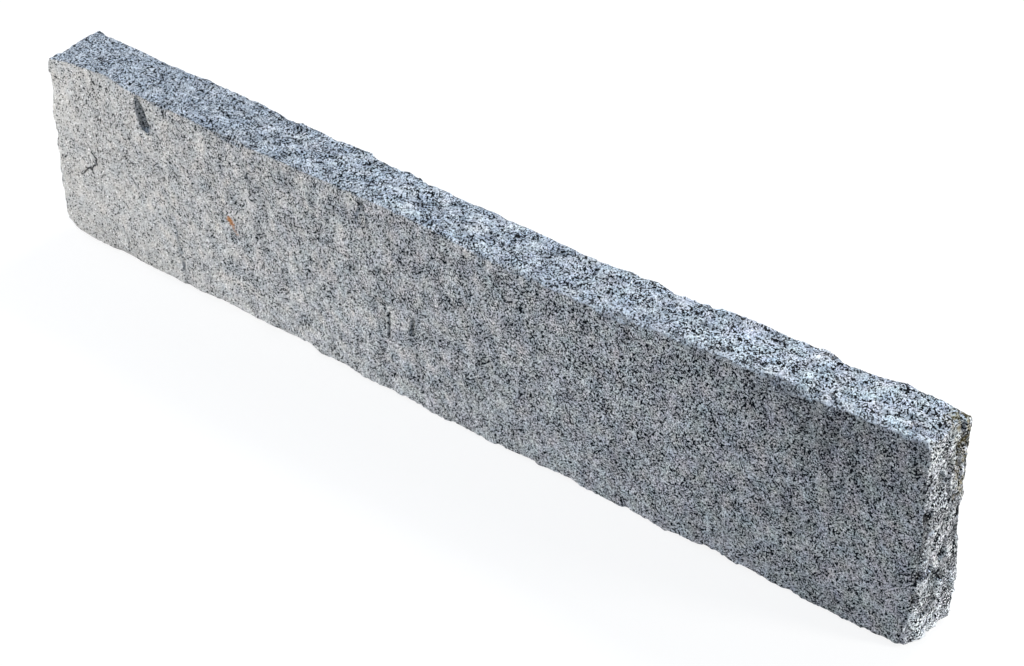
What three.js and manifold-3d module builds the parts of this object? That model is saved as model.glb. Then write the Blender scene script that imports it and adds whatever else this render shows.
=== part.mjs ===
// Hewn granite kerb stone, standing on edge on its long narrow bed.
//
// Millimetres, +Z up. The origin is the middle of the bed. X runs along the stone, the show
// face looks along -Y, and the bed lies in the plane z = 0. The stone is one piece of rock,
// split to size on all sides, so each face is a slow wave and each arris wanders and is chipped.

import * as THREE from 'three';
import { ImprovedNoise } from 'three/addons/math/ImprovedNoise.js';
import { mergeVertices } from 'three/addons/utils/BufferGeometryUtils.js';
import Module from 'manifold-3d';

// The stone's nominal size, between the mean planes of its faces.
const LENGTH = 1000;
const THICKNESS = 62;
const HEIGHT = 195;

// Size of the facets that the split faces are laid out in.
const FACET_ALONG = 15;
const FACET_ACROSS = 12;
const FACET_UP = 15;

// How far each split face swings in and out of its mean plane, and over what length.
const SHOW_FACE_SWING = 3;
const BACK_FACE_SWING = 4;
const TOP_SWING = 2.5;
const END_SWING = 5;
const FACE_WAVE = 95;
const TOP_WAVE = 50;
const END_WAVE = 40;

// Each face reads its own layer of the same noise.
const LAYERS = { top: 0.5, bed: 1.5, front: 2.5, back: 3.5, left: 4.5, right: 5.5 };

// Width of the band along the bed's rim where the arris is lifted off the ground.
const WANE_WIDTH = 10;
const BACK_WANE_LIFT = 3;
const END_WANE_LIFT = 1;

// Depth, down from the top, of the band where the show face leans back from its arris.
const SETBACK_BAND = 30;

// Leaf-shaped wedge slot, cut into the show face just under the top arris near the left end.
const SLOT_FROM_LEFT = 130;
const SLOT_FROM_TOP = 20;
const SLOT_LENGTH = 38;
const SLOT_WIDTH = 13.5;
const SLOT_DEPTH = 9;
const SLOT_LEAN = THREE.MathUtils.degToRad(26);

// Shallow spall in the show face, under the top arris left of the middle.
const SPALL_FROM_LEFT = 415;
const SPALL_FROM_TOP = 20;
const SPALL_LENGTH = 30;
const SPALL_WIDTH = 11;
const SPALL_DEPTH = 3;
const SPALL_LEAN = THREE.MathUtils.degToRad(-12);

// A flake's scar is a scoop whose centre lies this many bites outside the arris.
const SCOOP_OFFSET = 1.5;

// Sides of the round cutters.
const ROUND_SIDES = 12;

// Stations along the stone, as [share of the length from the left end, millimetres].
const FRONT_TOP_RISE = [
  [0, -4], [0.03, 0], [0.17, -2], [0.25, -4], [0.32, -3], [0.4, 0], [0.47, -3], [0.54, -7], [0.6, -8],
  [0.69, -8], [0.72, -5], [0.75, -2], [0.86, 0], [0.92, 0], [1, 0],
];
const BACK_TOP_RISE = [
  [0, 3], [0.02, 1], [0.06, 0], [0.24, 1], [0.34, 0], [0.45, -5], [0.51, -6], [0.6, -8], [0.67, -5],
  [0.72, -5], [0.79, -1], [0.83, -2], [0.87, 0], [0.91, -1], [0.95, 0], [1, 1],
];
const FRONT_TOP_SETBACK = [
  [0, 0], [0.04, 1], [0.075, 7], [0.11, 2], [0.15, 0], [0.6, 0], [0.8, 2], [0.95, 3], [1, 1],
];
const FRONT_BED_LIFT = [
  [0, 13], [0.015, 7], [0.04, 4], [0.16, 5], [0.19, 4], [0.22, 7], [0.33, 7], [0.355, 3], [0.46, 3],
  [0.52, 0], [0.56, 2], [0.65, 3], [0.69, 0], [0.74, 1], [0.77, 1], [0.81, 5], [0.86, 2], [0.9, 0],
  [0.93, 2], [1, 3],
];

// Stations up the ends, as [share of the height, millimetres outwards].
const LEFT_BULGE = [
  [0, -1], [0.1, 1], [0.3, 1], [0.42, -2], [0.48, 1], [0.54, 0], [0.65, 4], [0.9, 1], [1, -2],
];
const RIGHT_FRONT_BULGE = [
  [0, -2], [0.1, 0], [0.45, 1], [0.52, 2], [0.58, 5], [0.75, 3], [0.92, 2], [1, -1],
];
const RIGHT_BACK_BULGE = [
  [0, 0], [0.1, 3], [0.34, 2], [0.45, -1], [0.55, -3], [0.65, 0], [0.75, 3], [0.85, 0], [1, -3],
];

// Flake scars on the long arrises: place as a share of the length, length and bite.
const FRONT_TOP_FLAKES = [
  { at: 0.16, length: 40, bite: 2 },
  { at: 0.252, length: 50, bite: 3 },
  { at: 0.596, length: 56, bite: 3 },
  { at: 0.7, length: 44, bite: 4 },
  { at: 0.872, length: 70, bite: 3 },
];
const BACK_TOP_FLAKES = [
  { at: 0.12, length: 60, bite: 2 },
  { at: 0.398, length: 50, bite: 3 },
  { at: 0.648, length: 40, bite: 2 },
  { at: 0.897, length: 44, bite: 3 },
];
const FRONT_BED_FLAKES = [
  { at: 0.09, length: 44, bite: 3 },
  { at: 0.325, length: 50, bite: 3 },
  { at: 0.53, length: 44, bite: 3 },
  { at: 0.85, length: 40, bite: 3 },
];

// Flake scars on the front arris of the right end: place as a share of the height.
const RIGHT_ARRIS_FLAKES = [
  { at: 0.07, length: 30, bite: 4 },
  { at: 0.4, length: 60, bite: 4 },
  { at: 0.81, length: 30, bite: 3 },
];

const LEFT = -LENGTH / 2;
const RIGHT = LENGTH / 2;
const FRONT = -THICKNESS / 2;
const BACK = THICKNESS / 2;

const { clamp, lerp, smoothstep } = THREE.MathUtils;
const noise = new ImprovedNoise();

// Value at a share of the way along a row of stations, eased from each one to the next.
function between(stations, share) {
  const place = clamp(share, 0, 1);
  const next = Math.max(1, stations.findIndex(([at]) => at >= place));
  const [from, low] = stations[next - 1];
  const [to, high] = stations[next];
  return lerp(low, high, smoothstep(place, from, to));
}

// A slow wave over the plane of u and v that swings about zero by the given height.
function wave(u, v, waveLength, layer, height) {
  return height * noise.noise(u / waveLength, v / waveLength, layer);
}

function shareAlong(x) {
  return (x - LEFT) / LENGTH;
}

function shareAcross(y) {
  return (y - FRONT) / THICKNESS;
}

function topAt(x, y) {
  const rise = lerp(
    between(FRONT_TOP_RISE, shareAlong(x)), between(BACK_TOP_RISE, shareAlong(x)), shareAcross(y));
  return HEIGHT + rise + wave(x, y, TOP_WAVE, LAYERS.top, TOP_SWING);
}

// The bed is flat, and lifts off the ground only in the wane along its rim.
function bedAt(x, y) {
  const nearness = (distance) => Math.max(0, 1 - distance / WANE_WIDTH);
  const ragged = 1 + wave(x, y, END_WAVE, LAYERS.bed, 1);
  return Math.max(
    between(FRONT_BED_LIFT, shareAlong(x)) * nearness(y - FRONT),
    BACK_WANE_LIFT * ragged * nearness(BACK - y),
    END_WANE_LIFT * ragged * Math.max(nearness(x - LEFT), nearness(RIGHT - x)));
}

function frontAt(x, z) {
  const nearTop = smoothstep(z, HEIGHT - SETBACK_BAND, HEIGHT);
  const setback = between(FRONT_TOP_SETBACK, shareAlong(x)) * nearTop;
  return FRONT + setback + wave(x, z, FACE_WAVE, LAYERS.front, SHOW_FACE_SWING);
}

function backAt(x, z) {
  return BACK + wave(x, z, FACE_WAVE, LAYERS.back, BACK_FACE_SWING);
}

function leftAt(y, z) {
  return LEFT - between(LEFT_BULGE, z / HEIGHT) - wave(y, z, END_WAVE, LAYERS.left, END_SWING);
}

function rightAt(y, z) {
  const bulge = lerp(
    between(RIGHT_FRONT_BULGE, z / HEIGHT), between(RIGHT_BACK_BULGE, z / HEIGHT), shareAcross(y));
  return RIGHT + bulge + wave(y, z, END_WAVE, LAYERS.right, END_SWING);
}

// A block of facets with every corner moved on to the split faces.
function hewnBlock() {
  const block = new THREE.BoxGeometry(
    LENGTH, THICKNESS, HEIGHT,
    Math.ceil(LENGTH / FACET_ALONG), Math.ceil(THICKNESS / FACET_ACROSS), Math.ceil(HEIGHT / FACET_UP));
  block.translate(0, 0, HEIGHT / 2);
  const corners = block.attributes.position;
  for (let i = 0; i < corners.count; i += 1) {
    const x = corners.getX(i);
    const y = corners.getY(i);
    const z = corners.getZ(i);
    corners.setXYZ(
      i,
      lerp(leftAt(y, z), rightAt(y, z), shareAlong(x)),
      lerp(frontAt(x, z), backAt(x, z), shareAcross(y)),
      lerp(bedAt(x, y), topAt(x, y), z / HEIGHT));
  }
  return block;
}

// Leaf with a pointed top and a blunt foot, its long axis upright and its mouth in the face.
function leafCutter(length, width, depth, lean) {
  const half = length / 2;
  const side = width / 2;
  const outline = [
    [0, half], [side * 0.5, half * 0.66], [side * 0.92, half * 0.2], [side, half * -0.3],
    [side * 0.85, half * -0.75], [side * 0.4, half * -0.95], [0, -half],
  ];
  const points = outline.map(([r, y]) => new THREE.Vector2(r, y));
  const leaf = new THREE.LatheGeometry(points.reverse(), ROUND_SIDES);
  leaf.rotateX(Math.PI / 2);
  leaf.scale(1, depth / side, 1);
  leaf.rotateY(-lean);
  return leaf;
}

function slotCutter() {
  const slot = leafCutter(SLOT_LENGTH, SLOT_WIDTH, SLOT_DEPTH, SLOT_LEAN);
  const x = LEFT + SLOT_FROM_LEFT;
  const z = HEIGHT - SLOT_FROM_TOP;
  return slot.translate(x, frontAt(x, z), z);
}

function spallCutter() {
  const spall = leafCutter(SPALL_LENGTH, SPALL_WIDTH, SPALL_DEPTH, SPALL_LEAN);
  const x = LEFT + SPALL_FROM_LEFT;
  const z = HEIGHT - SPALL_FROM_TOP;
  return spall.translate(x, frontAt(x, z), z);
}

// Scoop that takes one flake off an arris that runs along X, or up Z if it is upright. Outward
// is the unit direction that leads straight away from the arris.
function flakeCutter({ length, bite }, arris, outward, upright) {
  const radius = bite * (1 + SCOOP_OFFSET);
  const reach = length / 2 / Math.sqrt(1 - (SCOOP_OFFSET / (1 + SCOOP_OFFSET)) ** 2);
  const scoop = new THREE.SphereGeometry(1, ROUND_SIDES, ROUND_SIDES / 2);
  scoop.scale(upright ? radius : reach, radius, upright ? reach : radius);
  const centre = arris.clone().addScaledVector(outward, bite * SCOOP_OFFSET);
  return scoop.translate(centre.x, centre.y, centre.z);
}

function flakesAlong(flakes, yAt, zAt, outward) {
  return flakes.map((flake) => {
    const x = LEFT + flake.at * LENGTH;
    return flakeCutter(flake, new THREE.Vector3(x, yAt(x), zAt(x)), outward.normalize(), false);
  });
}

function flakesUpRightEnd(flakes) {
  const outward = new THREE.Vector3(1, -1, 0).normalize();
  return flakes.map((flake) => {
    const z = flake.at * HEIGHT;
    return flakeCutter(flake, new THREE.Vector3(rightAt(FRONT, z), frontAt(RIGHT, z), z), outward, true);
  });
}

function flakeCutters() {
  return [
    ...flakesAlong(
      FRONT_TOP_FLAKES, (x) => frontAt(x, HEIGHT), (x) => topAt(x, FRONT), new THREE.Vector3(0, -1, 1)),
    ...flakesAlong(
      BACK_TOP_FLAKES, (x) => backAt(x, HEIGHT), (x) => topAt(x, BACK), new THREE.Vector3(0, 1, 1)),
    ...flakesAlong(
      FRONT_BED_FLAKES, (x) => frontAt(x, 0), (x) => bedAt(x, FRONT), new THREE.Vector3(0, -1, -1)),
    ...flakesUpRightEnd(RIGHT_ARRIS_FLAKES),
  ];
}

const wasm = await Module();
wasm.setup();

function solidOf(geometry) {
  geometry.deleteAttribute('normal');
  geometry.deleteAttribute('uv');
  const shell = mergeVertices(geometry);
  return new wasm.Manifold(new wasm.Mesh({
    numProp: 3,
    vertProperties: shell.attributes.position.array,
    triVerts: Uint32Array.from(shell.index.array),
  }));
}

function geometryOf(solid) {
  const mesh = solid.getMesh();
  const geometry = new THREE.BufferGeometry();
  geometry.setAttribute('position', new THREE.BufferAttribute(mesh.vertProperties, 3));
  geometry.setIndex(new THREE.BufferAttribute(mesh.triVerts, 1));
  return geometry;
}

// The finished stone, with the middle of its outermost points over the origin.
function stoneGeometry() {
  const cutters = [slotCutter(), spallCutter(), ...flakeCutters()];
  const stone = cutters.reduce((solid, cutter) => solid.subtract(solidOf(cutter)), solidOf(hewnBlock()));
  const geometry = geometryOf(stone);
  geometry.computeBoundingBox();
  const middle = geometry.boundingBox.getCenter(new THREE.Vector3());
  geometry.translate(-middle.x, -middle.y, 0);
  return geometry;
}

const granite = new THREE.MeshStandardMaterial({
  color: 0x9a9ea3,
  roughness: 0.85,
  metalness: 0,
  flatShading: true,
});

const kerb = new THREE.Group();
const stone = new THREE.Mesh(stoneGeometry(), granite);
stone.name = 'kerb_stone';
kerb.add(stone);

export default kerb;
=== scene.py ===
"""Dresses the hewn granite kerb stone: fine split relief, chipped arrises, granite and a pale studio."""

import functools
import itertools
import math
from heapq import heappop, heappush
from types import SimpleNamespace

import bmesh
import bpy
from bpy.props import FloatProperty, FloatVectorProperty, PointerProperty
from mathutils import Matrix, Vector, noise
from mathutils.kdtree import KDTree


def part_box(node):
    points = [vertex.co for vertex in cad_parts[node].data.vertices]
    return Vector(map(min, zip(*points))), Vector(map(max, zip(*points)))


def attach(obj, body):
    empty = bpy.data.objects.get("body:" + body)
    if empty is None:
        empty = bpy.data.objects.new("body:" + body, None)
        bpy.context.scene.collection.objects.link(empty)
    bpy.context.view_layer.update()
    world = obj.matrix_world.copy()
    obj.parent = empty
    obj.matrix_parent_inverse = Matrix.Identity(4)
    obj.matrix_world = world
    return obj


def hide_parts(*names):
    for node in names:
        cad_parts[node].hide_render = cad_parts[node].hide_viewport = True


bl_info = {
    "name": "Granite kerb stone",
    "version": (1, 0, 0),
    "blender": (4, 5, 0),
    "location": "View3D > Sidebar > Kerb",
    "description": "Dresses a hewn granite kerb stone and sets it in a pale studio",
    "category": "Object",
}

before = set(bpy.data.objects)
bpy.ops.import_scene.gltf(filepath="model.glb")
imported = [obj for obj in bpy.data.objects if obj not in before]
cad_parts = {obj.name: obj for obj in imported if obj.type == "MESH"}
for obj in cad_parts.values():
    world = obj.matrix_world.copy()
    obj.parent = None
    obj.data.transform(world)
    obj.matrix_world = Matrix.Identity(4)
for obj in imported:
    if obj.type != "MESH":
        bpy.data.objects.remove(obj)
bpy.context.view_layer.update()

NODE = "kerb_stone"
LOW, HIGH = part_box(NODE)
MM = 0.001

# Points of the plain stone's triangles that are nearer than this are one point.
MERGED = 0.01 * MM

# Cracks and scars in the show face: points along X and up Z, half width and depth, in millimetres.
CRACKS = (
    (((-449, 106), (-443, 101), (-445, 93), (-455, 87), (-468, 75)), 0.9, 0.7),
    (((-453, 88), (-448, 82)), 0.8, 0.5),
    (((-442, 167), (-440, 160), (-434, 148)), 0.8, 0.4),
    (((-387, 138), (-394, 128), (-401, 118)), 0.9, 0.4),
    (((-412, 39), (-411, 31), (-405, 26), (-406, 11)), 0.9, 0.7),
    (((-378, 67), (-374, 59)), 1.0, 0.6),
    (((-333, 66), (-331, 52)), 1.0, 0.5),
    (((-330, 44), (-328, 38)), 1.2, 0.7),
    (((-328, 27), (-328, 21)), 1.3, 0.8),
    (((-86, 188), (-82, 180), (-79, 170), (-83, 163)), 2.0, 1.5),
    (((-53, 86), (-54, 72), (-55, 60)), 1.3, 1.2),
    (((-25, 90), (-26, 75)), 2.0, 1.4),
    (((-40, 139), (-40, 129)), 1.3, 0.9),
)

# No crack reaches further than this to the left or right of its first point, or past its ends.
CRACK_LEFT, CRACK_RIGHT, CRACK_PAST = 24, 18, 5

# The forked crack at the left, which is lined with painted shade, and the streak of rust.
SHADED_CRACKS = (CRACKS[0][0], CRACKS[1][0])
RUST = ((-257, 104), (-255, 100), (-249, 91))

# Shallow pits in the show face: place along X and up Z, half width, half height and depth, in millimetres.
PITS = (
    (-391, 53, 2.0, 3.0, 0.8),
    (140, 175, 5.0, 4.0, 1.6),
    (75, 96, 3.0, 6.0, 1.6),
    (116, 114, 4.0, 4.0, 1.4),
    (167, 51, 4.0, 5.0, 1.6),
    (105, 70, 4.0, 4.0, 1.4),
)

# An oval where the show face is split flatter: place along X and up Z, half width and half height.
FLATTER = (-113, 143, 11, 16)

# A ledge at the lower left of the show face, which stands proud along a leaning seam. It fades out to the
# left over LEDGE_WIDTH and towards its top over LEDGE_FADE. The seam crosses SEAM_HEIGHT at SEAM_X.
SEAM_X, SEAM_HEIGHT, SEAM_LEAN = -336, 80, 0.14
LEDGE_WIDTH, LEDGE_TOP, LEDGE_FADE, LEDGE_EDGE, LEDGE_RISE = 70, 95, 15, 2, 1.1

# The wedge slot: its middle along X and up Z, half width, half height and lean, and how much deeper it is
# made than the plain stone's. Above HOOK_FROM its middle line bends aside, by HOOK at HOOK_LENGTH above it.
# Inside its outline the stone is darkened with painted shade.
WEDGE_MIDDLE = (-368.9, 175.8)
WEDGE_HALF = (3.9, 21.5)
WEDGE_LEAN = math.radians(29)
WEDGE_EXTRA = 1
HOOK, HOOK_FROM, HOOK_LENGTH = 2.5, 9, 12

# The mesh is fine in bands along the show face, the top and the right end, which are looked at most. Its
# edges are COARSER times as long elsewhere and on the bed, and FINER times about the slot and the cracks.
FINE_BANDS = (12 * MM, 9 * MM, 14 * MM)
BED_BAND = 0.5 * MM
COARSER, FINER = 2.6, 0.46

# How far the split surface may be set in before the rest counts for less, and how much the rest counts.
USUAL_DEPTH = 2.6 * MM
BEYOND_USUAL = 0.3

# Where the top arris of the show face is worn round: to the right of WORN_FROM along X, before WORN_BEFORE
# along Y, and less than WORN_UNDER under the top.
WORN_FROM = 0.1 * HIGH.x
WORN_BEFORE, WORN_UNDER = -18 * MM, 22 * MM

# Under this height the front arris of the right end is broken off, fully so a little further down.
BROKEN_UNDER, BROKEN_FADE = 98 * MM, 9 * MM

# The chips of an arris, as shares of the chip depth: how much it is chipped on the whole, how much more
# where the end is broken off, the most that breaks off, and what is worn off a plain arris and a round one.
CHIPPED, BROKEN_MORE, MOST_CHIPPED = 0.05, 1.2, 1.6
PLAIN_WEAR, ROUND_WEAR = 0.12, 0.45

# Cracks are widened by this much, and their edges wander in steps of about RAGGED_SIZE, in millimetres.
CRACK_MARGIN = 0.4
RAGGED_SIZE = (3, 3, 3)
RAGGED_LAYER = 11

# How much painted shade a crack gets for each millimetre of its depth, and the most that it may get.
CRACK_SHADE, MOST_CRACK_SHADE = 1.2, 1.8

# A point lies on the show face where its normal's Y is less than this.
FACES_FRONT = -0.7

# These turn the middle of a facet into its tilt and its step, and say how much height comes from each.
TILT_SEED, STEP_SEED = 89, 61
TILT_SHARE, STEP_SHARE = 0.9, 0.45


# Shader maths -------------------------------------------------------------------------------


class Field:
    """A socket whose maths reads as Python: Math nodes for values, Vector Math for the rest."""

    def __init__(self, shader, socket):
        self.shader = shader
        self.socket = socket

    @property
    def is_value(self):
        return self.socket.type == "VALUE"

    def maths(self, operation, first, second):
        """Adds a Math node where both sides are values, and a Vector Math node where one isn't."""
        if self.is_value and not (isinstance(second, Field) and not second.is_value):
            return self.shader.node("ShaderNodeMath", {"operation": operation}, {0: first, 1: second})
        return self.shader.node("ShaderNodeVectorMath", {"operation": operation}, {0: first, 1: second})

    def __add__(self, other):
        return self.maths("ADD", self, other)

    __radd__ = __add__

    def __sub__(self, other):
        return self.maths("SUBTRACT", self, other)

    def __rsub__(self, other):
        return self.maths("SUBTRACT", other, self)

    def __mul__(self, other):
        return self.maths("MULTIPLY", self, other)

    __rmul__ = __mul__

    def __truediv__(self, other):
        return self.maths("DIVIDE", self, other)

    def __rtruediv__(self, other):
        return self.maths("DIVIDE", other, self)

    def colour(self):
        """The same value in all three parts."""
        return self.shader.node("ShaderNodeCombineXYZ", {}, {0: self, 1: self, 2: self})

    def least(self, other):
        return self.maths("MINIMUM", self, other)

    def most(self, other):
        return self.maths("MAXIMUM", self, other)

    def dot(self, other):
        settings = {"operation": "DOT_PRODUCT"}
        return self.shader.node("ShaderNodeVectorMath", settings, {0: self, 1: other}, output=1)

    def length(self):
        return self.shader.node("ShaderNodeVectorMath", {"operation": "LENGTH"}, {0: self}, output=1)

    def between(self, low, high):
        """0 at low, 1 at high, eased; low may be the greater."""
        settings = {"interpolation_type": "SMOOTHSTEP"}
        if low <= high:
            return self.shader.node("ShaderNodeMapRange", settings, {0: self, 1: low, 2: high})
        return 1 - self.between(high, low)

    def bell(self, middle, reach_squared):
        """1 at middle, easing to 0 where the square of the distance from it is reach_squared."""
        away = self - middle
        return (away * away).between(reach_squared, 0)

    def clamp(self):
        return self.shader.node("ShaderNodeClamp", {}, {0: self})

    def part(self, index):
        return self.shader.node("ShaderNodeSeparateXYZ", {}, {0: self}, output=index)


class Shader:
    """The node tree of one material or world."""

    def __init__(self, owner):
        owner.use_nodes = True
        self.tree = owner.node_tree
        self.tree.nodes.clear()

    def node(self, kind, settings, inputs, output=0):
        """Adds a node: its settings first, then its sockets' values or links."""
        made = self.tree.nodes.new(kind)
        for name, value in settings.items():
            setattr(made, name, value)
        for key, value in inputs.items():
            self.feed(made.inputs[key], value)
        return Field(self, made.outputs[output]) if made.outputs else made

    def feed(self, socket, value):
        """Links a field to a socket, or sets the socket to a number, a colour or a vector."""
        if isinstance(value, Field):
            self.tree.links.new(value.socket, socket)
        elif isinstance(value, (int, float)):
            socket.default_value = value if socket.type == "VALUE" else (value,) * len(socket.default_value)
        else:
            socket.default_value = (*value, 1) if socket.type == "RGBA" else value

    def mix(self, factor, first, second):
        """first where factor is 0, second where it is 1; both are colours."""
        settings = {"data_type": "RGBA"}
        return self.node("ShaderNodeMix", settings, {0: factor, 6: first, 7: second}, output=2)

    def noise(self, place, size, detail=2.0, output=0):
        """Cloudy noise, 0 to 1, whose blobs are about size across, in metres; output 1 is in colour."""
        inputs = {"Vector": place, "Scale": 1 / size, "Detail": detail}
        return self.node("ShaderNodeTexNoise", {}, inputs, output=output)

    def crystals(self, place, size):
        """Crystals of about size across, in metres, each of one random colour."""
        return self.node("ShaderNodeTexVoronoi", {}, {"Vector": place, "Scale": 1 / size}, output=1)


# Sizes and colours that a user would change -------------------------------------------------


class KerbRelief(bpy.types.PropertyGroup):
    """How rough the split faces are, and how worn their arrises."""

    mesh_size: FloatProperty(
        name="Mesh size", description="Longest edge of the fine mesh on the faces that show",
        default=3.04 * MM, unit="LENGTH")
    show_relief: FloatProperty(
        name="Show face relief", description="Depth of the lumps on the long faces",
        default=1.1 * MM, unit="LENGTH")
    top_relief: FloatProperty(
        name="Top relief", description="Depth of the facets on the top", default=1.7 * MM, unit="LENGTH")
    end_relief: FloatProperty(
        name="End relief", description="Depth of the facets on the ends", default=3.4 * MM, unit="LENGTH")
    chip_reach: FloatProperty(
        name="Chip reach", description="How far a chip reaches from its arris",
        default=7 * MM, unit="LENGTH")
    chip_depth: FloatProperty(
        name="Chip depth", description="Depth of the deepest chips", default=2.2 * MM, unit="LENGTH")


class KerbGranite(bpy.types.PropertyGroup):
    """Colours and grain of the granite."""

    crystal_size: FloatProperty(
        name="Crystal size", description="Width of a usual pale crystal", default=0.9 * MM, unit="LENGTH")
    mica_size: FloatProperty(
        name="Mica size", description="Width of a usual black flake", default=1.2 * MM, unit="LENGTH")
    mica_share: FloatProperty(
        name="Mica share", description="Share of the stone that is black flakes",
        default=0.28, min=0, max=0.9, subtype="FACTOR")
    feldspar: FloatVectorProperty(
        name="Feldspar", description="Colour of the light crystals",
        default=(0.92, 0.92, 0.93), subtype="COLOR")
    quartz: FloatVectorProperty(
        name="Quartz", description="Colour of the grey crystals",
        default=(0.085, 0.09, 0.096), subtype="COLOR")
    mica_and_crack_shade: FloatVectorProperty(
        name="Mica", description="Colour of the black specks",
        default=(0.004, 0.005, 0.007), subtype="COLOR")
    dust: FloatVectorProperty(
        name="Stone dust", description="Colour of the dusty, bruised stone",
        default=(0.42, 0.402, 0.372), subtype="COLOR")
    worn: FloatVectorProperty(
        name="Worn stone", description="Colour of the worn arris of the top",
        default=(0.56, 0.59, 0.64), subtype="COLOR")
    rust: FloatVectorProperty(
        name="Rust", description="Colour of the rust streak", default=(0.42, 0.16, 0.035), subtype="COLOR")
    soil: FloatVectorProperty(
        name="Soil stain", description="Colour of the olive brown stain",
        default=(0.045, 0.035, 0.01), subtype="COLOR")


class KerbStudio(bpy.types.PropertyGroup):
    """Floor, lamps and camera."""

    floor_colour: FloatVectorProperty(
        name="Floor", description="Colour of the floor", default=(0.8, 0.8, 0.8), subtype="COLOR")
    sky: FloatProperty(
        name="Sky", description="Strength of the light from all round", default=0.48)
    overhead: FloatProperty(
        name="Overhead", description="Power of the lamp above", default=22, unit="POWER")
    left_lamp: FloatProperty(
        name="Left lamp", description="Power of the lamp at the left", default=17, unit="POWER")
    right_lamp: FloatProperty(
        name="Right lamp", description="Power of the lamp at the right", default=8.5, unit="POWER")
    back_lamp: FloatProperty(
        name="Back lamp", description="Power of the lamp behind", default=11, unit="POWER")
    aim: FloatVectorProperty(
        name="Camera aim", description="Point that the camera looks at",
        default=(0.0437, 0.0226, 0.0797), subtype="TRANSLATION")
    azimuth: FloatProperty(
        name="Azimuth", description="Turn of the camera round the stone, from the front to the right",
        default=math.radians(40.87), unit="ROTATION")
    elevation: FloatProperty(
        name="Elevation", description="Height of the camera above the horizon",
        default=math.radians(33.04), unit="ROTATION")
    distance: FloatProperty(
        name="Distance", description="From the camera to its aim", default=2.2066, unit="LENGTH")
    lens: FloatProperty(name="Lens", description="Focal length", default=87.89, unit="CAMERA")


# The stone's mesh ---------------------------------------------------------------------------


def merged_copy(node, name):
    """A copy of a CAD node with its loose triangles joined up."""
    mesh = bpy.data.meshes.new(name)
    block = bmesh.new()
    block.from_mesh(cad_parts[node].data)
    bmesh.ops.remove_doubles(block, verts=block.verts, dist=MERGED)
    block.to_mesh(mesh)
    block.free()
    piece = bpy.data.objects.new(name, mesh)
    bpy.context.scene.collection.objects.link(piece)
    return piece


def least_height(first, second, third):
    """The least height of the triangle between three points."""
    doubled_area = (second.co - first.co).cross(third.co - first.co).length
    sides = ((first, second), (second, third), (third, first))
    return doubled_area / max((start.co - end.co).length for start, end in sides)


def mend_slivers(block, least=0.45 * MM, rounds=6):
    """Joins points that nearly touch, and turns the longest edge of each thin triangle where that helps."""
    bmesh.ops.remove_doubles(block, verts=block.verts, dist=least)
    for _ in range(rounds):
        for face in list(block.faces):
            if not face.is_valid or least_height(*face.verts) >= least:
                continue
            longest = max(face.edges, key=lambda edge: edge.calc_length())
            start, end = longest.verts
            tips = [next(v for v in near.verts if v not in longest.verts) for near in longest.link_faces]
            before = min(least_height(start, end, tip) for tip in tips)
            after = min(least_height(*tips, start), least_height(*tips, end))
            if block.edges.get(tips) is None and after > before:
                bmesh.utils.edge_rotate(longest)


def wanted_edge(place, relief):
    """How long an edge of the fine mesh may be here: short where the stone is looked at most."""
    if near_slot(place, margin=2) > 0 or near_crack(place, margin=1) > 0:
        return FINER * relief.mesh_size
    if place.z < BED_BAND:
        return COARSER * relief.mesh_size
    front, top, end = FINE_BANDS
    if place.y < LOW.y + front or place.z > HIGH.z - top or place.x > HIGH.x - end:
        return relief.mesh_size
    return COARSER * relief.mesh_size


def refine(block, relief):
    """Halves the edges that are longer than wanted, and the triangles beside them, the worst edge first."""
    waiting = []
    order = itertools.count()

    def queue(edge):
        start, end = edge.verts
        excess = edge.calc_length() / wanted_edge((start.co + end.co) / 2, relief)
        if excess > 1:
            heappush(waiting, (-excess, next(order), edge))

    for edge in block.edges:
        queue(edge)
    while waiting:
        edge = heappop(waiting)[2]
        faces = list(edge.link_faces)
        other_half, middle = bmesh.utils.edge_split(edge, edge.verts[0], 0.5)
        queue(edge)
        queue(other_half)
        for face in faces:
            corner = next(loop for loop in face.loops if loop.vert == middle)
            opposite = corner.link_loop_next.link_loop_next.vert
            queue(bmesh.utils.face_split(face, middle, opposite)[1].edge)


def ease_folds(block, most_turn=math.radians(110), rounds=30):
    """Smooths the surface about each edge where it folds back on itself."""
    block.normal_update()
    edges = list(block.edges)
    for _ in range(rounds):
        folded = [edge for edge in edges if edge.calc_face_angle(0) > most_turn]
        if not folded:
            return
        near = {vertex: None for edge in folded for face in edge.link_faces for vertex in face.verts}
        bmesh.ops.smooth_vert(
            block, verts=list(near), factor=0.5, use_axis_x=True, use_axis_y=True, use_axis_z=True)
        edges = list({edge: None for vertex in near for edge in vertex.link_edges})


def arris_tree(block, least_turn=math.radians(35)):
    """Every point that lies on a sharp edge, for finding the nearest."""
    sharp = [v for v in block.verts if any(
        len(e.link_faces) == 2 and e.calc_face_angle() > least_turn for e in v.link_edges)]
    tree = KDTree(len(sharp))
    for index, vertex in enumerate(sharp):
        tree.insert(vertex.co, index)
    tree.balance()
    return tree


def scaled(place, sizes):
    """A place measured in cells of these sizes, in millimetres."""
    return Vector((place.x / sizes[0], place.y / sizes[1], place.z / sizes[2])) / MM


def facets(place, sizes, layer):
    """Height, from about -1 to 1, of stone split into flat facets of this size that tilt at random."""
    spot = scaled(place, sizes) + Vector((layer, 2 * layer, 3 * layer))
    middle = noise.voronoi(spot)[1][0]
    tilt = noise.cell_vector(middle * TILT_SEED) * 2 - Vector((1, 1, 1))
    return tilt.dot(spot - middle) * TILT_SHARE + noise.cell(middle * STEP_SEED) * STEP_SHARE


def lumps(place, sizes, layer):
    """Smooth lumps of this size, from about -1 to 1."""
    return noise.noise(scaled(place, sizes) + Vector((layer, layer, layer)))


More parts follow.
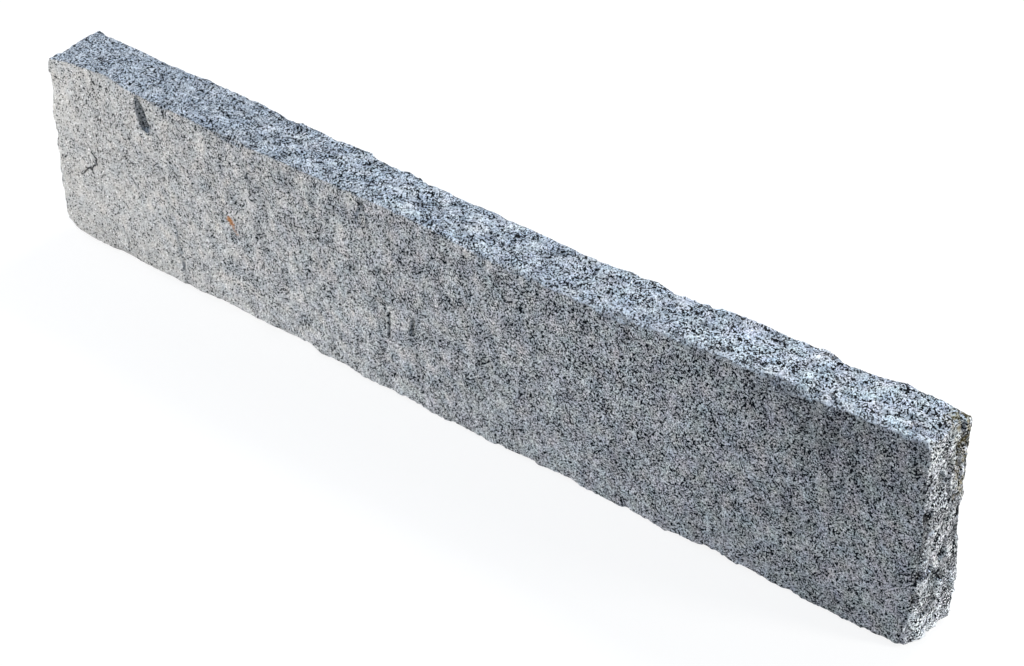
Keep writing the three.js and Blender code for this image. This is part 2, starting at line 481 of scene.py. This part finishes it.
def share_along(place):
    """0 at the left end of the stone, 1 at the right end."""
    return (place.x - LOW.x) / (HIGH.x - LOW.x)


def near_oval(place, x, z, half_width, half_height):
    """1 in the middle of an oval on the show face, 0 outside it."""
    across = (place.x / MM - x) / half_width
    up = (place.z / MM - z) / half_height
    return max(0.0, 1 - across * across - up * up)


def distance_to_stroke(x, z, points):
    """Distance in millimetres from a broken line on the show face."""
    nearest = 99.0
    for (x0, z0), (x1, z1) in zip(points, points[1:]):
        run, rise = x1 - x0, z1 - z0
        gone = ((x - x0) * run + (z - z0) * rise) / (run * run + rise * rise)
        gone = min(1.0, max(0.0, gone))
        nearest = min(nearest, math.hypot(x - x0 - gone * run, z - z0 - gone * rise))
    return nearest


def near_crack(place, margin=0, ragged=0.0):
    """Depth of the cracks here in millimetres; a margin widens them, and ragged shifts their edges."""
    if place.y > 0:
        return 0.0
    x, z = place.x / MM, place.z / MM
    deepest = 0.0
    for points, half_width, depth in CRACKS:
        (first_x, first_z), last_z = points[0], points[-1][1]
        beside = first_x - CRACK_LEFT < x < first_x + CRACK_RIGHT
        if beside and last_z - CRACK_PAST < z < first_z + CRACK_PAST:
            inside = 1 - (distance_to_stroke(x, z, points) + ragged) / (half_width + margin)
            deepest = max(deepest, depth * min(1.0, 2 * inside))
    return deepest


def ledge_at(x, z):
    """Height in millimetres of the ledge at the lower left of the show face."""
    left_of_seam = SEAM_X + (SEAM_HEIGHT - z) * SEAM_LEAN - x
    if not 0 < left_of_seam < LEDGE_WIDTH or z >= LEDGE_TOP:
        return 0.0
    edge = min(1, left_of_seam / LEDGE_EDGE)
    return LEDGE_RISE * edge * (1 - left_of_seam / LEDGE_WIDTH) * min(1, (LEDGE_TOP - z) / LEDGE_FADE)


def show_face_marks(place):
    """Height of the ledge and the pits in the show face, in metres; 0 where there is none."""
    pits = sum(depth * near_oval(place, *oval) for *oval, depth in PITS)
    return (ledge_at(place.x / MM, place.z / MM) - pits) * MM


def near_slot(place, margin=0):
    """1 in the wedge slot's outline, 0 a little way outside it; a margin widens it."""
    if place.y > 0:
        return 0.0
    x = place.x / MM - WEDGE_MIDDLE[0]
    z = place.z / MM - WEDGE_MIDDLE[1]
    across = x * math.cos(WEDGE_LEAN) + z * math.sin(WEDGE_LEAN)
    up = z * math.cos(WEDGE_LEAN) - x * math.sin(WEDGE_LEAN)
    across = abs(across - HOOK * max(0.0, (up - HOOK_FROM) / HOOK_LENGTH) ** 2)
    half_width, half_height = WEDGE_HALF[0] + margin, WEDGE_HALF[1] + margin
    if abs(up) > half_height:
        return 0.0
    edge = half_width * (1 - (up / half_height) ** 2) ** 0.6
    return min(1.0, max(0.0, edge - across + 1))


# What the relief of each face is summed from: shape, share, sizes in millimetres along X, Y and Z, and its
# own layer of noise.
SHOW_RELIEF = (
    (lumps, 0.55, (18, 18, 28), 2),
    (facets, 0.5, (13, 13, 19), 1),
    (lumps, 0.5, (5.5, 5.5, 8), 3),
)
TOP_RELIEF = (
    (facets, 0.8, (19, 9, 9), 4),
    (lumps, 0.7, (9, 4.5, 5), 5),
)
END_RELIEF = (
    (facets, 0.9, (10, 11, 14), 6),
    (facets, 0.3, (5, 5, 7), 10),
    (lumps, 0.35, (6, 6, 9), 7),
)
CHIPS = (
    (facets, 0.7, (9, 9, 9), 8),
    (lumps, 1, (22, 22, 22), 9),
)


def summed(place, shapes):
    """Height of several reliefs together, from about -1 to 1."""
    return sum(share * shape(place, sizes, layer) for shape, share, sizes, layer in shapes)


def show_relief(place):
    """Upright lumps and facets of the long faces, which are smoother at the left end and at the right."""
    along = share_along(place)
    rougher = 0.55 + 0.95 * min(1, along / 0.35) - 0.9 * max(0, along - 0.6)
    return rougher * summed(place, SHOW_RELIEF)


def top_relief(place):
    """Split facets of the top, rougher towards the right."""
    rougher = 0.5 + 0.8 * share_along(place)
    return rougher * summed(place, TOP_RELIEF)


def end_relief(place):
    """Deep hewn lumps of the ends, shallower on the left one."""
    deeper = 1.0 if place.x > 0 else 0.5
    return deeper * summed(place, END_RELIEF)


def relief_at(place, normal, relief):
    """How far the split surface stands proud of the plain one, in metres."""
    along, across, up = (part * part for part in normal)
    return (
        across * relief.show_relief * show_relief(place)
        + up * relief.top_relief * top_relief(place)
        + along * relief.end_relief * end_relief(place)
    )


def on_worn_arris(place):
    """Whether a point lies on the right half of the top arris of the show face, which is worn round."""
    return place.x > WORN_FROM and place.y < WORN_BEFORE and place.z > HIGH.z - WORN_UNDER


def chip_at(place, distance, relief):
    """How much is broken off near an arris, in metres."""
    nearness = max(0.0, 1 - distance / relief.chip_reach)
    if not nearness:
        return 0.0
    broken = max(0.0, summed(place, CHIPS) + CHIPPED)
    if place.x > HIGH.x - FINE_BANDS[2] and place.y < 0 and place.z < BROKEN_UNDER:
        broken += min(BROKEN_MORE, (BROKEN_UNDER - place.z) / BROKEN_FADE)
    worn = (ROUND_WEAR if on_worn_arris(place) else PLAIN_WEAR) * nearness ** 3
    return relief.chip_depth * (min(MOST_CHIPPED, broken) * nearness ** 1.5 + worn)


def roughen(block, relief):
    """Moves each point of the fine mesh on to the split surface."""
    block.normal_update()
    heights = block.verts.layers.float.new("relief")
    edges = block.verts.layers.float.new("arris")
    shades = block.verts.layers.float.new("shade")
    arrises = arris_tree(block)
    places = []
    for vertex in block.verts:
        place = vertex.co.copy()
        normal = vertex.normal
        distance = arrises.find(place)[2]
        slot = near_slot(place)
        height = relief_at(place, normal, relief) * (1 - slot)
        crack = 0.0
        if normal.y < FACES_FRONT:
            height *= 1 - near_oval(place, *FLATTER)
            height += show_face_marks(place)
            crack = max(0.0, near_crack(place, CRACK_MARGIN, lumps(place, RAGGED_SIZE, RAGGED_LAYER)))
            height -= crack * MM
        vertex[heights] = height / MM
        # Painted shade in the wedge slot and in the cracks, more where a crack is deeper.
        vertex[shades] = max(slot, min(MOST_CRACK_SHADE, CRACK_SHADE * crack))
        vertex[edges] = max(0.0, 1 - distance / relief.chip_reach)
        move = height - chip_at(place, distance, relief) * (1 - slot)
        if move < -USUAL_DEPTH:
            move = BEYOND_USUAL * move - (1 - BEYOND_USUAL) * USUAL_DEPTH
        places.append(place + normal * (move - slot * WEDGE_EXTRA * MM))
    for vertex, place in zip(block.verts, places):
        vertex.co = (place.x, place.y, max(place.z, 0))


def sharpen(block, least_turn=math.radians(38)):
    """Shades the faces smooth, but keeps the sharp edges crisp where they aren't worn."""
    block.normal_update()
    for face in block.faces:
        face.smooth = True
    for edge in block.edges:
        worn = all(on_worn_arris(vertex.co) for vertex in edge.verts)
        edge.smooth = worn or len(edge.link_faces) != 2 or edge.calc_face_angle() < least_turn


# Granite ------------------------------------------------------------------------------------

# Sizes of the cloudy noises: wide patches, a soft mottle, tints, and places where dark grains crowd, which
# are tall on the upright faces and lie lengthwise on the top.
PATCH_SIZE, MOTTLE_SIZE, TINT_SIZE = 55 * MM, 15 * MM, 15 * MM
UPRIGHT_CROWD_SIZE, TOP_CROWD_SIZE = 12 * MM, 8 * MM

# The rims of the crystals are bent by as much as half of BEND, and stains and worn places are frayed.
BEND_SIZE, BEND = 0.6 * MM, 0.3 * MM
FRAY_SIZE = 3.5 * MM

# The grain of the top is turned by this much, and drawn out along Y by this much.
TOP_GRAIN_TURN = (0, 0, math.radians(41))
TOP_GRAIN_STRETCH = (1, 1.5, 1)

# Share of the small crystals that are black too, and half of the band over which flakes turn black.
SPECK_SHARE = 0.04
FLAKE_EDGE = 0.02

# Crystals whose random number is higher than these get a painted glint, of the colour below.
GLINTING = (0.955, 0.965)
GLINT_COLOUR = (0.95, 0.95, 0.95)

# What faces the sky gets painted sky light: it is tinted, and gains a little blue.
PAINTED_SKY_TINT = (0.95, 1, 1.05)
PAINTED_SKY_BLUE = (0, 0.008, 0.024)

# The colour is multiplied by 1 and these, each times its own noise: warm to cool, green, and the mottle's.
WARM_TINT, GREEN_TINT, MOTTLE_TINT = (0.22, 0, -0.22), (0, 0.22, 0), (0.15, 0, -0.15)

# Each of these pairs is a place where something begins and one where it is full. Along the stone, 0 is its
# left end and 1 its right end. Up the stone, 0 is its bed and 1 its top. The others are in metres.

# The worn arris of the top: along the stone, in from the show face, and up to the top.
WORN_ALONG = (0.58, 0.72)
WORN_BAND = (20 * MM, 6 * MM)
WORN_UP = (0.9, 0.98)

# The olive brown stain: along, back along Y and up, its blotches, and how much colour the stone keeps.
SOIL_ALONG, SOIL_BACK, SOIL_UP = (0.975, 0.985), (2 * MM, 16 * MM), (0.55, 0.7)
SOIL_SIZE, SOIL_BLOTCHES = 5 * MM, (0.4, 0.6)
UNDER_SOIL = (0.5, 0.43, 0.3)

# The rust: the height above which it is a patch, wider by RUST_WIDER, and below which a thin tail. Then its
# rim, and how far that is frayed and broken up by the crystals.
RUST_PATCH = (95 * MM, 102 * MM)
RUST_WIDER = 2.4 * MM
RUST_RIM = (1.4 * MM, 0.4 * MM)
RUST_FRAY, RUST_SPECKS = 2.4 * MM, 3 * MM

# The painted shade in the forked crack: how far it wanders, with noise of what size, its rims, and how far
# these are frayed.
WANDER_SIZE, WANDER = 4 * MM, 5 * MM
CRACK_RIM = (1.1 * MM, 0.5 * MM)
CRACK_FRAY = 1.8 * MM

# The small relief of the crystals: size of its noise, height of the bump, and its strength.
GRIT_SIZE = 2.2 * MM
BUMP_HEIGHT = 0.6 * MM
BUMP_STRENGTH = 0.8

# Split stone is rough and hardly shines; its flakes are smoother by FLAKE_GLOSS.
ROUGHNESS, FLAKE_GLOSS, SPECULAR = 0.85, 0.2, 0.05


def distance_to_path(shader, place, path):
    """Distance from a path on the show face, in metres, measured in the plane of the face."""
    flat = place * (1, 0, 1)
    distances = []
    for (x0, z0), (x1, z1) in zip(path, path[1:]):
        start = Vector((x0, 0, z0)) * MM
        step = Vector((x1 - x0, 0, z1 - z0)) * MM
        gone = ((flat - tuple(start)).dot(tuple(step)) / step.length_squared).clamp()
        way = shader.node("ShaderNodeVectorMath", {"operation": "SCALE"}, {0: tuple(step), 3: gone})
        distances.append((flat - tuple(start) - way).length())
    return functools.reduce(Field.least, distances)


def attribute(shader, name):
    """A number that was stored at each point of the mesh."""
    return shader.node("ShaderNodeAttribute", {"attribute_name": name}, {}, output="Fac")


def survey(shader):
    """Where a point of the stone lies, which way it faces and how it is hewn there, each as a field."""
    place = shader.node("ShaderNodeTexCoord", {}, {}, output="Object")
    normal = shader.node("ShaderNodeTexCoord", {}, {}, output="Normal")
    on_front = (normal.part(1) * -1).between(0.3, 0.7)
    up = (place.part(2) / HIGH.z).clamp()
    return SimpleNamespace(
        place=place,
        along=((place.part(0) - LOW.x) / (HIGH.x - LOW.x)).clamp(),
        up=up,
        on_front=on_front,
        higher=(up - 0.5) * on_front,
        hewn=1 - on_front,
        on_top=normal.part(2).between(0.6, 0.62),
        facing_up=normal.part(2).between(0.5, 0.9),
        on_end=normal.part(0).between(0.5, 0.8),
        height=attribute(shader, "relief"),
        arris=attribute(shader, "arris"),
        shade=attribute(shader, "shade"),
        fray=shader.noise(place, FRAY_SIZE) - 0.5,
    )


def add_mottling(shader, at):
    """Adds to the survey where the stone is patchy and mottled, where stone dust and painted light make it
    paler, and where its dark grains crowd.
    """
    at.patches = shader.noise(at.place, PATCH_SIZE, detail=3) - 0.5
    blotches = 0.5 - shader.noise(at.place * (1, 1, 0.75), MOTTLE_SIZE, detail=3)
    at.mottle = blotches * (0.6 + at.along.bell(0.38, 0.1) * 0.6)
    # Stone dust and painted light together: most at the left end of every face but the top, thinning out
    # along the stone, with more on the ridges of the relief.
    dusty = (0.92 - at.along * 1.35).clamp() * (1 - at.on_top)
    at.dusty = (dusty + at.patches * 0.4 * at.on_front + at.height * 0.1).clamp()
    upright = shader.noise(at.place * (1, 1, 0.6), UPRIGHT_CROWD_SIZE, detail=1)
    lengthwise = shader.noise(at.place * (0.4, 1, 1), TOP_CROWD_SIZE)
    crowd = shader.mix(at.on_top, upright.colour(), lengthwise.colour()).part(0) - 0.5
    at.crowd = crowd * (0.3 + at.hewn * at.along * 0.5 - at.dusty * 0.3) - at.mottle * 0.5


def add_grain(shader, at, granite):
    """Adds to the survey the crystals, how pale each one is, and which are black flakes."""
    upright = at.place + (shader.noise(at.place, BEND_SIZE, output=1) - 0.5) * BEND
    lying = shader.node(
        "ShaderNodeMapping", {"vector_type": "TEXTURE"},
        {"Vector": upright, "Rotation": TOP_GRAIN_TURN, "Scale": TOP_GRAIN_STRETCH})
    grain = shader.mix(at.on_top, upright, lying)
    at.crystals = shader.crystals(grain, granite.crystal_size)
    at.paleness = at.crystals.part(0) * (1 - at.on_top * 0.2) + at.on_top * 0.1
    flakes = shader.crystals(grain, granite.mica_size).part(0)
    rarer = at.dusty * 0.17 - at.hewn * at.along * (0.08 - at.on_top * 0.03) - at.higher * 0.08 - at.crowd
    specks = (at.crystals.part(0) + rarer).between(SPECK_SHARE, 0)
    share = granite.mica_share
    at.dark = specks.most((flakes + rarer).between(share + FLAKE_EDGE, share - FLAKE_EDGE))


def tone_and_painted_light_at(at):
    """How light the stone is here beside its usual tone: random patches and mottle, with painted light and
    shade.
    """
    # Painted shade at the right end of the show face and at its upper right, and painted light low down,
    # left of its middle.
    right_end_painted_shade = at.along.between(0.74, 0.93) * (0.2 + at.up * 0.08)
    right_top_painted_shade = at.along.between(0.6, 0.85) * at.up.between(0.6, 0.95) * 0.12
    low_left_painted_light = at.along.bell(0.36, 0.04) * at.up.between(0.6, 0.2) * 0.15
    # The show face is also painted darker towards its top and lighter towards its bed.
    tone = 1 + (low_left_painted_light - right_end_painted_shade - right_top_painted_shade) * at.on_front - at.higher * 0.08
    tone = tone + at.mottle * 0.8 + at.patches * 0.45
    # Painted light on the ridges of the relief and painted shade in its hollows, stronger off the show face
    # and strongest on the right end.
    tone = tone + at.height * (0.1 + at.hewn * 0.1 + at.on_end * 0.12)
    # Painted shade over most of the top, deepest at its left end; its right end is painted a little
    # lighter.
    top = 0.05 + at.along.between(0.45, 0.05) * 0.06 - at.along.between(0.68, 0.9) * 0.07
    # Painted light at the foot of the right end, a band of painted shade a little above it, and a little
    # painted shade over all of it.
    end = at.up.between(0.3, 0.12) * 0.66 - at.up.bell(0.4, 0.03) * 0.12 - 0.06
    return tone - at.on_top * top + at.on_end * end


def tint_at(shader, at):
    """How much warmer, cooler or greener the stone is here, as a colour to multiply by."""
    hues = (shader.noise(at.place, TINT_SIZE, detail=1, output=1) - 0.5) * (1 - at.on_end * 0.5).colour()
    warm = (hues.part(0) * (0.4 + at.along * 0.6)).colour() * WARM_TINT
    green = (hues.part(1) * at.along).colour() * GREEN_TINT
    return warm + green + at.mottle.colour() * MOTTLE_TINT + 1


def worn_at(at):
    """How worn the stone is here: most along the right half of the top's front arris."""
    right_half = at.along.between(*WORN_ALONG)
    front_band = (at.place.part(1) - LOW.y).between(*WORN_BAND) * right_half
    rubbed = (front_band * 0.8 + at.arris * 0.4) * (0.75 + at.height * 0.4).clamp() * at.facing_up
    under_top = at.up.between(*WORN_UP) * right_half * at.on_front
    return (rubbed + (at.arris * 0.6 + at.fray).clamp() * under_top).clamp()


def soiled_at(shader, at):
    """Where the olive brown stain lies: high on the right end, towards the back."""
    spot = at.along.between(*SOIL_ALONG) * at.place.part(1).between(*SOIL_BACK) * at.up.between(*SOIL_UP)
    return spot * shader.noise(at.place, SOIL_SIZE, detail=3).between(*SOIL_BLOTCHES) * at.hewn


def rusty_at(shader, at):
    """Where the rust streak lies and how strong it is, with dark crystals showing through."""
    patch = at.place.part(2).between(*RUST_PATCH)
    frayed = at.fray * RUST_FRAY + (at.crystals.part(2) - 0.5) * RUST_SPECKS
    distance = distance_to_path(shader, at.place, RUST) + frayed - patch * RUST_WIDER
    return distance.between(*RUST_RIM) * at.on_front * (1 - at.dark * 0.7) * (0.6 + patch * 0.3)


def crack_painted_shade_at(shader, at):
    """Where painted shade lines the forked crack."""
    wandering = at.place + (shader.noise(at.place, WANDER_SIZE, output=1) - 0.5) * WANDER
    distances = [distance_to_path(shader, wandering, path) for path in SHADED_CRACKS]
    distance = functools.reduce(Field.least, distances)
    return (distance + at.fray * CRACK_FRAY).between(*CRACK_RIM) * at.on_front


def granite_material(granite):
    """Granite: crystals and flakes, tinted from place to place, with painted light, shade and glints, then
    worn, soiled, rusty, and with painted shade in its cracks and slot.
    """
    material = bpy.data.materials.new("Granite")
    shader = Shader(material)
    at = survey(shader)
    add_mottling(shader, at)
    add_grain(shader, at, granite)
    worn = worn_at(at)

    stone = shader.mix(at.paleness, tuple(granite.quartz), tuple(granite.feldspar))
    # Paler stone dust, which also paints part of the light that is brighter at the left end of the stone.
    stone = shader.mix(at.dusty * 0.7, stone, tuple(granite.dust))
    stone = stone * tone_and_painted_light_at(at) * tint_at(shader, at)
    # Painted blue sky light on what faces up.
    stone = shader.mix(at.facing_up, stone, stone * PAINTED_SKY_TINT + PAINTED_SKY_BLUE)
    stone = shader.mix(worn * 0.32, stone, tuple(granite.worn))
    stone = shader.mix(at.dark * (1 - worn * 0.15), stone, tuple(granite.mica_and_crack_shade))
    # Painted glints on pale crystals, a few more on the right end.
    painted_glint = (at.crystals.part(1) + at.on_end * 0.06).between(*GLINTING) * (1 - at.dark)
    stone = shader.mix(painted_glint * 0.8, stone, GLINT_COLOUR)
    stone = shader.mix(soiled_at(shader, at) * 0.9, stone, stone * UNDER_SOIL + tuple(granite.soil))
    stone = shader.mix(rusty_at(shader, at), stone, tuple(granite.rust))
    # Painted shade in the forked crack, in the colour of the black flakes.
    stone = shader.mix(crack_painted_shade_at(shader, at) * 0.85, stone, tuple(granite.mica_and_crack_shade))
    # Painted shade in the wedge slot and the cracks.
    stone = stone * (1 - at.shade * 0.3)

    bump = at.paleness * 0.5 - at.dark * 0.5 + shader.noise(at.place, GRIT_SIZE) * 0.8
    bumped = shader.node(
        "ShaderNodeBump", {}, {"Strength": BUMP_STRENGTH, "Distance": BUMP_HEIGHT, "Height": bump})
    surface = shader.node(
        "ShaderNodeBsdfPrincipled", {},
        {"Base Color": stone, "Roughness": ROUGHNESS - at.dark * FLAKE_GLOSS,
         "Specular IOR Level": SPECULAR, "Normal": bumped})
    shader.node("ShaderNodeOutputMaterial", {}, {"Surface": surface})
    return material


class KERB_OT_stone(bpy.types.Operator):
    """Roughen the kerb stone and give it its granite"""

    bl_idname = "kerb.stone"
    bl_label = "Kerb stone"

    def execute(self, context):
        scene = context.scene
        stone = merged_copy(NODE, "hewn_kerb_stone")
        block = bmesh.new()
        block.from_mesh(stone.data)
        mend_slivers(block)
        refine(block, scene.kerb_relief)
        roughen(block, scene.kerb_relief)
        ease_folds(block)
        sharpen(block)
        block.to_mesh(stone.data)
        block.free()
        stone.data.materials.clear()
        stone.data.materials.append(granite_material(scene.kerb_granite))
        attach(stone, "root")
        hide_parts(NODE)
        return {"FINISHED"}


# Studio -------------------------------------------------------------------------------------

# Half the floor's width. Where the floor is seen, it shines, and its grey takes the stone's shadow.
FLOOR_HALF = 12
FLOOR_SHADOWED = (0.2, 0.2, 0.2)
FLOOR_SHINE = 0.86

SKY_COLOUR = (0.65, 0.8, 1)
WHITE = (1, 1, 1)
SENSOR_WIDTH = 36

# The lamps: name, setting of the studio that gives the power, place, aim, width and colour.
LAMPS = (
    ("Overhead", "overhead", (0.3, 1.2, 1.6), (0.05, 0, 0.1), 0.5, (0.92, 0.97, 1)),
    ("Left lamp", "left_lamp", (-1.3, -0.9, 0.25), (-0.1, 0, 0.1), 0.35, (1, 0.97, 0.92)),
    ("Right lamp", "right_lamp", (1.5, 0.35, 0.8), (0.5, 0, 0.1), 0.3, (1, 0.96, 0.88)),
    ("Back lamp", "back_lamp", (-0.6, 1.45, 0.85), (0, 0, 0.1), 0.6, (0.9, 0.95, 1)),
)


def looked_at(shader):
    """1 where the background is seen, directly or in gloss or glass, and 0 where it only gives light."""
    rays = ("Is Camera Ray", "Is Glossy Ray", "Is Transmission Ray")
    camera, glossy, clear = (shader.node("ShaderNodeLightPath", {}, {}, output=ray) for ray in rays)
    return (camera + glossy + clear).clamp()


def add_floor(studio):
    """A wide pale floor that shows white, with the stone's shadow on it."""
    mesh = bpy.data.meshes.new("floor")
    block = bmesh.new()
    bmesh.ops.create_grid(block, x_segments=1, y_segments=1, size=FLOOR_HALF)
    block.to_mesh(mesh)
    block.free()
    floor = bpy.data.objects.new("floor", mesh)
    bpy.context.scene.collection.objects.link(floor)
    material = bpy.data.materials.new("Pale floor")
    shader = Shader(material)
    seen = looked_at(shader)
    diffuse = shader.node("ShaderNodeBsdfDiffuse", {}, {"Color": tuple(studio.floor_colour)})
    shown = shader.node("ShaderNodeBsdfDiffuse", {}, {"Color": FLOOR_SHADOWED})
    glow = shader.node("ShaderNodeEmission", {}, {"Color": WHITE, "Strength": FLOOR_SHINE})
    white = shader.node("ShaderNodeAddShader", {}, {0: shown, 1: glow})
    surface = shader.node("ShaderNodeMixShader", {}, {0: seen, 1: diffuse, 2: white})
    shader.node("ShaderNodeOutputMaterial", {}, {"Surface": surface})
    mesh.materials.append(material)


def aim(thing, place, backwards):
    """Sets a lamp or a camera down at its place, with its back turned that way."""
    bpy.context.scene.collection.objects.link(thing)
    thing.location = place
    thing.rotation_euler = (-backwards).to_track_quat("-Z", "Y").to_euler()


def add_lamp(name, place, target, size, power, colour):
    """A round lamp that the camera doesn't see."""
    data = bpy.data.lights.new(name, "AREA")
    data.shape = "DISK"
    data.size = size
    data.energy = power
    data.color = colour
    lamp = bpy.data.objects.new(name, data)
    lamp.visible_camera = False
    aim(lamp, place, Vector(place) - Vector(target))


def add_sky(studio):
    """Bluish light from all round, with a white background."""
    world = bpy.data.worlds.new("Studio")
    bpy.context.scene.world = world
    shader = Shader(world)
    seen = looked_at(shader)
    light = shader.node("ShaderNodeBackground", {}, {"Color": SKY_COLOUR, "Strength": studio.sky})
    white = shader.node("ShaderNodeBackground", {}, {"Color": WHITE, "Strength": 1})
    surface = shader.node("ShaderNodeMixShader", {}, {0: seen, 1: light, 2: white})
    shader.node("ShaderNodeOutputWorld", {}, {"Surface": surface})


def add_camera(studio):
    """The camera, turned and raised about the point that it looks at."""
    data = bpy.data.cameras.new("Camera")
    data.lens = studio.lens
    data.sensor_width = SENSOR_WIDTH
    camera = bpy.data.objects.new("Camera", data)
    turn, rise = studio.azimuth, studio.elevation
    back = Vector((math.sin(turn) * math.cos(rise), -math.cos(turn) * math.cos(rise), math.sin(rise)))
    aim(camera, Vector(studio.aim) + back * studio.distance, back)
    bpy.context.scene.camera = camera


class KERB_OT_studio(bpy.types.Operator):
    """Lay the floor, hang the lamps and place the camera"""

    bl_idname = "kerb.studio"
    bl_label = "Studio"

    def execute(self, context):
        studio = context.scene.kerb_studio
        add_camera(studio)
        add_floor(studio)
        add_sky(studio)
        for name, setting, place, target, size, colour in LAMPS:
            add_lamp(name, place, target, size, getattr(studio, setting), colour)
        context.scene.view_settings.view_transform = "Standard"
        return {"FINISHED"}


class KERB_PT_panel(bpy.types.Panel):
    """The kerb stone's sizes, colours and steps"""

    bl_label = "Granite kerb stone"
    bl_space_type = "VIEW_3D"
    bl_region_type = "UI"
    bl_category = "Kerb"

    def draw(self, context):
        for group in (context.scene.kerb_relief, context.scene.kerb_granite, context.scene.kerb_studio):
            box = self.layout.box()
            for name in group.__annotations__:
                box.prop(group, name)
        self.layout.operator(KERB_OT_stone.bl_idname)
        self.layout.operator(KERB_OT_studio.bl_idname)


CLASSES = (KerbRelief, KerbGranite, KerbStudio, KERB_OT_stone, KERB_OT_studio, KERB_PT_panel)


def register():
    for item in CLASSES:
        bpy.utils.register_class(item)
    bpy.types.Scene.kerb_relief = PointerProperty(type=KerbRelief)
    bpy.types.Scene.kerb_granite = PointerProperty(type=KerbGranite)
    bpy.types.Scene.kerb_studio = PointerProperty(type=KerbStudio)


def unregister():
    del bpy.types.Scene.kerb_studio
    del bpy.types.Scene.kerb_granite
    del bpy.types.Scene.kerb_relief
    for item in reversed(CLASSES):
        bpy.utils.unregister_class(item)


def main():
    """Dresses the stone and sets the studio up."""
    register()
    bpy.ops.kerb.stone()
    bpy.ops.kerb.studio()


if __name__ == "__main__":
    main()
